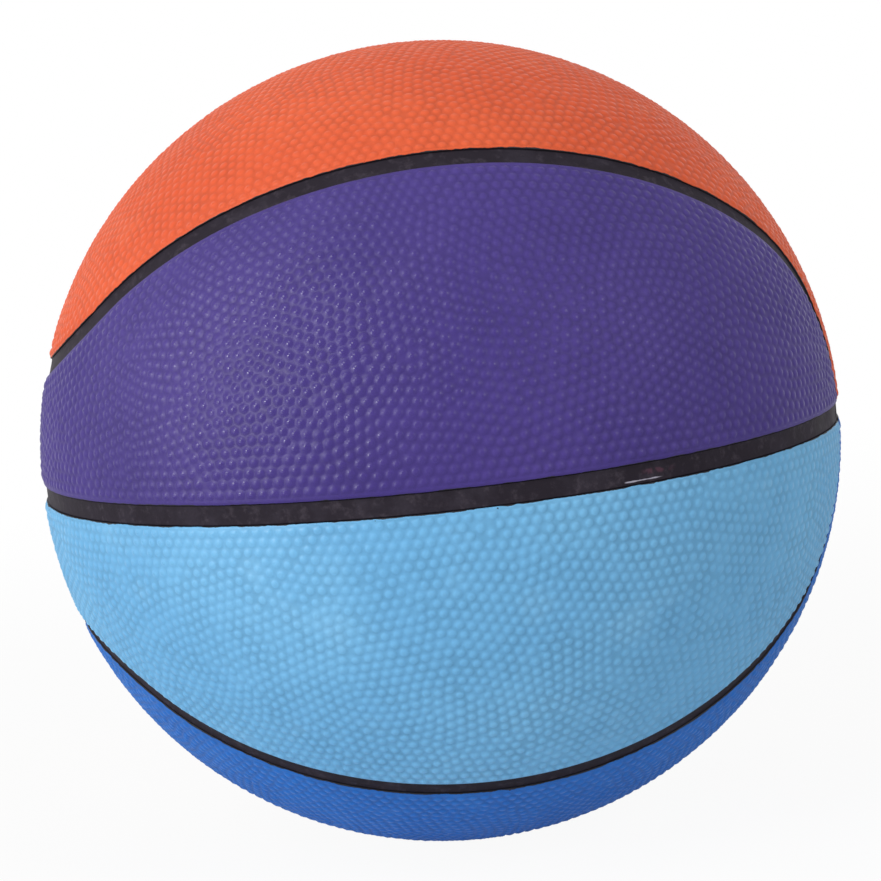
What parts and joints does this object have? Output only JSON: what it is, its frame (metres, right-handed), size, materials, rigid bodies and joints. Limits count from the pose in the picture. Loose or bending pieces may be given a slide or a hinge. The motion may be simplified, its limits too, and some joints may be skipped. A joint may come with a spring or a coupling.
{
  "type": "basketball",
  "caption": "Moulded rubber basketball with pebbled coloured panels, recessed black ribs between them, and a valve for an inflating needle.",
  "frame": {"origin": "the ball's centre", "axes": "+X and -X at the two points where the straight ribs cross, +Z at the middle of the top rib, -Y towards the front, at the middle of the front rib"},
  "size_m": [0.2426, 0.2428, 0.2428],
  "materials": {
    "purple_rubber": "pebbled, semi-gloss",
    "light_blue_rubber": "pebbled, semi-gloss",
    "orange_rubber": "pebbled, semi-gloss",
    "blue_rubber": "pebbled, semi-gloss",
    "rib_rubber": "smooth, matte",
    "carcass_rubber": "matte",
    "winding_thread": "wound nylon thread",
    "bladder_rubber": "smooth, satin",
    "valve_rubber": "smooth, satin",
    "plug_rubber": "smooth, satin"
  },
  "bodies": {
    "root": {"bladder": "bladder_rubber", "winding": "winding_thread", "carcass": "carcass_rubber", "panel_front_upper": "purple_rubber", "panel_front_lower": "light_blue_rubber", "panel_back_upper": "blue_rubber", "panel_back_lower": "orange_rubber", "panel_top_front": "orange_rubber", "panel_top_back": "light_blue_rubber", "panel_bottom_front": "blue_rubber", "panel_bottom_back": "purple_rubber", "rib_middle_front": "rib_rubber", "rib_middle_back": "rib_rubber", "rib_middle_right": "rib_rubber", "rib_crown_top": "rib_rubber", "rib_crown_bottom": "rib_rubber", "rib_crown_left": "rib_rubber", "rib_curve_front_upper": "rib_rubber", "rib_curve_front_lower": "rib_rubber", "rib_curve_back_upper": "rib_rubber", "rib_curve_back_lower": "rib_rubber", "valve_body": "valve_rubber", "valve_plug": "plug_rubber"}
  },
  "joints": []
}
